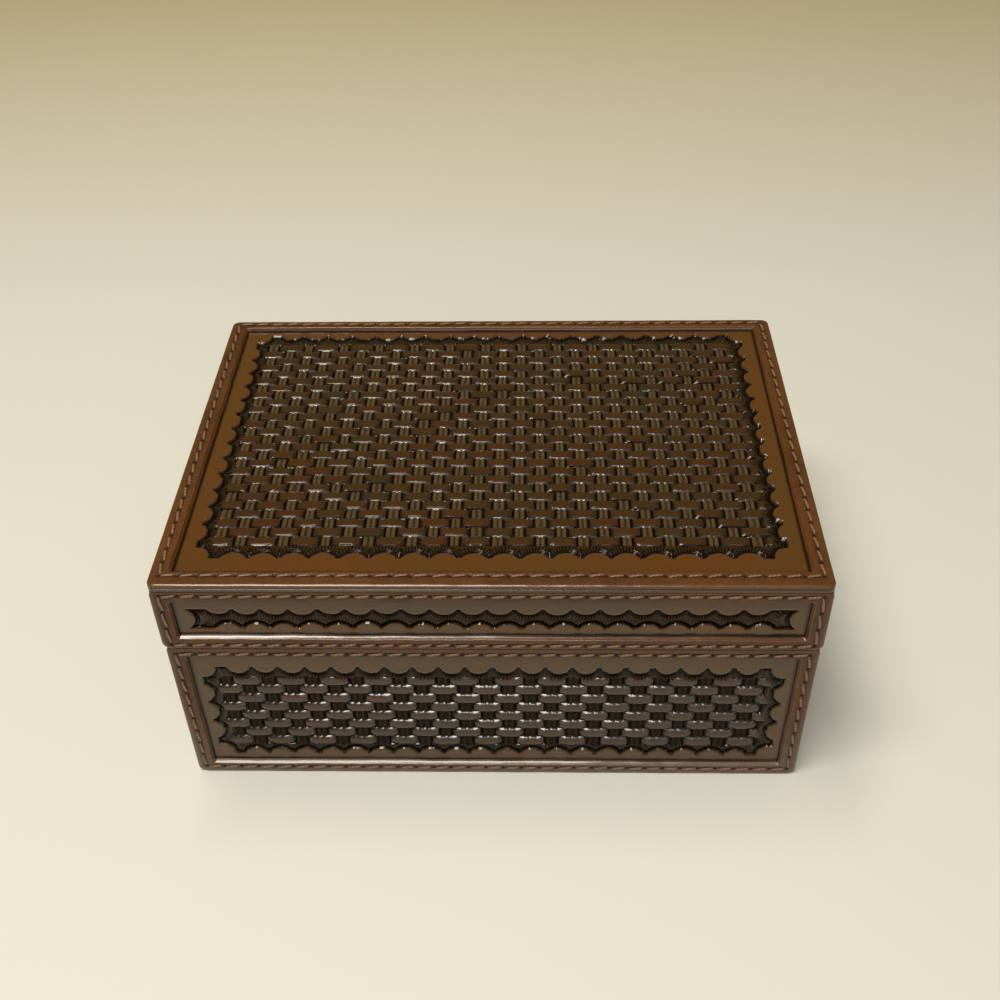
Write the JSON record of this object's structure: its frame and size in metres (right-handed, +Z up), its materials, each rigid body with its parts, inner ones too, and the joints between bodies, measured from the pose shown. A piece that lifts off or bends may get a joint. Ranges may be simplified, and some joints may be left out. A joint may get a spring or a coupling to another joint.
{
  "type": "stationery box",
  "caption": "Hinged rectangular box with tooled basketweave leather panels in stitched leather frames over a thin wooden carcass, lined in suede.",
  "frame": {"origin": "centre of the underside of the base", "axes": "+X to the right along the box's width, +Y to the back where the hinges are, +Z up"},
  "size_m": [0.1786, 0.1305, 0.0787],
  "materials": {
    "frame_leather": "smooth finished leather, satin",
    "tooled_leather": "tooled leather with dark antique in the stamps, glossy lacquer",
    "thread": "waxed twisted thread",
    "wood": "plain planed wood",
    "suede": "suede, soft nap",
    "brass": "drawn and slightly dulled"
  },
  "bodies": {
    "base": {"base_floor_board": "wood", "base_front_board": "wood", "base_right_board": "wood", "base_back_board": "wood", "base_left_board": "wood", "base_bottom_cover": "frame_leather", "base_floor_lining": "suede", "base_front_lining": "suede", "base_right_lining": "suede", "base_back_lining": "suede", "base_left_lining": "suede", "base_front_panel": "tooled_leather", "base_right_panel": "tooled_leather", "base_back_panel": "tooled_leather", "base_left_panel": "tooled_leather", "base_front_frame": "frame_leather", "base_right_frame": "frame_leather", "base_back_frame": "frame_leather", "base_left_frame": "frame_leather", "base_front_thread": "thread", "base_right_thread": "thread", "base_back_thread": "thread", "base_left_thread": "thread", "base_hinge_leaves": "brass", "hinge_pins": "brass", "base_hinge_screws": "brass"},
    "lid": {"lid_top_board": "wood", "lid_front_board": "wood", "lid_right_board": "wood", "lid_back_board": "wood", "lid_left_board": "wood", "lid_top_lining": "suede", "lid_front_lining": "suede", "lid_right_lining": "suede", "lid_back_lining": "suede", "lid_left_lining": "suede", "lid_top_panel": "tooled_leather", "lid_front_panel": "tooled_leather", "lid_right_panel": "tooled_leather", "lid_back_panel": "tooled_leather", "lid_left_panel": "tooled_leather", "lid_top_frame": "frame_leather", "lid_front_frame": "frame_leather", "lid_right_frame": "frame_leather", "lid_back_frame": "frame_leather", "lid_left_frame": "frame_leather", "lid_top_thread": "thread", "lid_front_thread": "thread", "lid_right_thread": "thread", "lid_back_thread": "thread", "lid_left_thread": "thread", "lid_hinge_leaves": "brass", "lid_hinge_screws": "brass"}
  },
  "joints": [
    {"name": "lid_hinge", "type": "hinge", "parent": "base", "child": "lid", "pos_m": [0, 0.065, 0.0542], "axis": [-1, 0, 0], "range_deg": [0, 98]}
  ]
}
